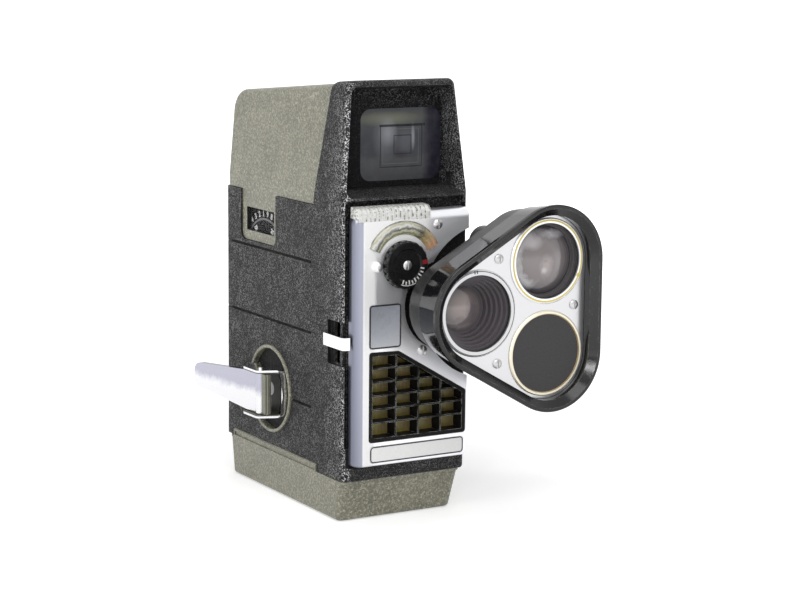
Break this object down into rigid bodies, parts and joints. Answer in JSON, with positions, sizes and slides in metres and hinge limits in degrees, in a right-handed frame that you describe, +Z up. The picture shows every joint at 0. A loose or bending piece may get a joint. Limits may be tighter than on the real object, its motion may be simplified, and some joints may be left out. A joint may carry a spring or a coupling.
{
  "type": "movie camera",
  "caption": "Vintage spring-wound 8 mm movie camera with a triangular lens turret, electric-eye meter, big finder and folding winding key.",
  "frame": {"origin": "centre of the tripod socket's mouth, in the plane of the sole", "axes": "+X to the right seen from the front, on the turret's side; +Y from the lenses to the eyepiece; +Z up"},
  "size_m": [0.0992, 0.128, 0.1554],
  "materials": {
    "crinkle_casting": "crinkle",
    "hammer_khaki": "hammertone",
    "satin_silver": "satin",
    "satin_black": "satin",
    "chrome": "polished",
    "brass": "satin",
    "steel": "brushed",
    "blue_steel": "polished",
    "cast_grey": "bead blasted",
    "lens_glass": "coated",
    "clear_glass": "polished",
    "amber_glass": "tinted",
    "black_plastic": "satin",
    "olive_cell": "textured",
    "white_plastic": "satin",
    "badge_enamel": "gloss",
    "black_steel": "matt"
  },
  "bodies": {
    "camera_body": {"body_casting": "crinkle_casting", "upper_cover": "hammer_khaki", "base_cover": "hammer_khaki", "tripod_socket": "steel", "door_hinge_pins": "steel", "face_plate": "satin_silver", "face_screws": "steel", "light_strip": "white_plastic", "cell_grid": "black_plastic", "selenium_cell": "olive_cell", "face_badges": "badge_enamel", "scale_window": "amber_glass", "scale_plate": "white_plastic", "meter_movement": "cast_grey", "taking_lens_barrel": "satin_black", "taking_lens_glass": "lens_glass", "finder_mask": "satin_black", "finder_glasses": "clear_glass", "finder_eyepiece": "satin_black", "key_escutcheon": "hammer_khaki", "mechanism_plate": "cast_grey", "film_gate": "steel", "counter_window": "clear_glass"},
    "turret": {"turret_housing": "satin_black", "turret_face": "satin_silver", "turret_base": "satin_black", "turret_screws": "steel", "turret_shaft": "steel", "normal_cell": "satin_black", "normal_glass": "lens_glass", "tele_cell": "satin_black", "tele_glass": "lens_glass", "wide_cell": "satin_black", "wide_glass": "lens_glass"},
    "detent": {"turret_detent": "steel"},
    "dial": {"exposure_dial": "black_plastic", "dial_screw": "chrome"},
    "needle": {"meter_needle": "black_steel"},
    "release": {"release_lever": "chrome"},
    "winding_key": {"key_disc": "crinkle_casting", "key_bracket": "chrome", "winding_arbor": "steel"},
    "paddle": {"key_paddle": "chrome"},
    "pawl": {"ratchet_pawl": "steel"},
    "barrel": {"mainspring_barrel": "brass", "mainspring": "blue_steel"},
    "second": {"second_wheel": "brass"},
    "drive": {"drive_shaft": "steel"},
    "shutter_disc": {"shutter": "black_steel"},
    "governor_rotor": {"governor": "brass"},
    "takeup": {"takeup_spindle": "steel", "takeup_spool": "black_steel"},
    "supply": {"supply_spindle": "steel", "supply_spool": "black_steel"},
    "claw": {"film_claw": "steel"},
    "pad": {"pressure_plate": "steel"},
    "counter": {"counter_disc": "black_plastic"},
    "door": {"film_door": "crinkle_casting"},
    "latch": {"door_latch": "chrome"}
  },
  "joints": [
    {"name": "turret_turn", "type": "hinge", "parent": "camera_body", "child": "turret", "pos_m": [0.03192, -0.05, 0.07645], "axis": [0, 1, 0], "continuous": true},
    {"name": "detent_slide", "type": "slide", "parent": "camera_body", "child": "detent", "axis": [0, -1, 0], "range_m": [0, 0.0007], "stiffness_N_per_m": 150},
    {"name": "exposure_dial_turn", "type": "hinge", "parent": "camera_body", "child": "dial", "pos_m": [-0.0037, -0.0466, 0.0917], "axis": [0, 1, 0], "range_deg": [-150, 150]},
    {"name": "meter_needle_swing", "type": "hinge", "parent": "camera_body", "child": "needle", "pos_m": [-0.0037, -0.0446, 0.0917], "axis": [0, 1, 0], "range_deg": [-50, 50], "stiffness_Nm_per_rad": 0.00001},
    {"name": "release_slide", "type": "slide", "parent": "camera_body", "child": "release", "axis": [0, 0, 1], "range_m": [-0.0055, 0.004], "stiffness_N_per_m": 300},
    {"name": "key_wind", "type": "hinge", "parent": "camera_body", "child": "winding_key", "pos_m": [-0.0236, 0.0138, 0.0385], "axis": [1, 0, 0], "continuous": true},
    {"name": "key_fold", "type": "hinge", "parent": "winding_key", "child": "paddle", "pos_m": [-0.0315, 0.0085, 0.0385], "axis": [0, 0, 1], "range_deg": [-4, 84]},
    {"name": "pawl_swing", "type": "hinge", "parent": "camera_body", "child": "pawl", "pos_m": [-0.0199, 0.02005, 0.04933], "axis": [1, 0, 0], "range_deg": [-12, 0], "stiffness_Nm_per_rad": 0.004},
    {"name": "barrel_turn", "type": "hinge", "parent": "camera_body", "child": "barrel", "pos_m": [-0.0176, 0.0138, 0.0385], "axis": [1, 0, 0], "continuous": true},
    {"name": "second_turn", "type": "hinge", "parent": "camera_body", "child": "second", "pos_m": [-0.0024, 0.00598, 0.06172], "axis": [1, 0, 0], "continuous": true},
    {"name": "drive_turn", "type": "hinge", "parent": "camera_body", "child": "drive", "pos_m": [-0.0049, -0.00402, 0.06172], "axis": [0, 1, 0], "continuous": true},
    {"name": "shutter_turn", "type": "hinge", "parent": "camera_body", "child": "shutter_disc", "pos_m": [-0.001, -0.0244, 0.06983], "axis": [0, 1, 0], "continuous": true},
    {"name": "governor_turn", "type": "hinge", "parent": "camera_body", "child": "governor_rotor", "pos_m": [-0.0174, -0.00761, 0.05538], "axis": [1, 0, 0], "continuous": true},
    {"name": "takeup_turn", "type": "hinge", "parent": "camera_body", "child": "takeup", "pos_m": [0.01292, 0.02, 0.08768], "axis": [1, 0, 0], "continuous": true},
    {"name": "supply_turn", "type": "hinge", "parent": "camera_body", "child": "supply", "pos_m": [0.01292, 0.02, 0.0362], "axis": [1, 0, 0], "continuous": true},
    {"name": "claw_slide", "type": "slide", "parent": "camera_body", "child": "claw", "axis": [0, 0, 1], "range_m": [-0.00381, 0]},
    {"name": "pressure_slide", "type": "slide", "parent": "camera_body", "child": "pad", "axis": [0, 1, 0], "range_m": [0, 0.0016], "stiffness_N_per_m": 60},
    {"name": "counter_turn", "type": "hinge", "parent": "camera_body", "child": "counter", "pos_m": [-0.0222, 0.0234, 0.0836], "axis": [1, 0, 0], "continuous": true},
    {"name": "door_swing", "type": "hinge", "parent": "camera_body", "child": "door", "pos_m": [0.0248, 0.0518, 0.061], "axis": [0, 0, 1], "range_deg": [0, 110]},
    {"name": "latch_turn", "type": "hinge", "parent": "door", "child": "latch", "pos_m": [0.0261, -0.0165, 0.046], "axis": [1, 0, 0], "range_deg": [0, 90]}
  ],
  "couplings": [
    {"joint": "drive_turn", "follows": "shutter_turn", "ratio": -0.5},
    {"joint": "second_turn", "follows": "shutter_turn", "ratio": -0.1},
    {"joint": "barrel_turn", "follows": "shutter_turn", "ratio": 0.016667},
    {"joint": "takeup_turn", "follows": "shutter_turn", "ratio": 0.073529},
    {"joint": "supply_turn", "follows": "shutter_turn", "ratio": 0.073529},
    {"joint": "governor_turn", "follows": "shutter_turn", "ratio": 0.5},
    {"joint": "counter_turn", "follows": "shutter_turn", "ratio": 0.00045}
  ]
}
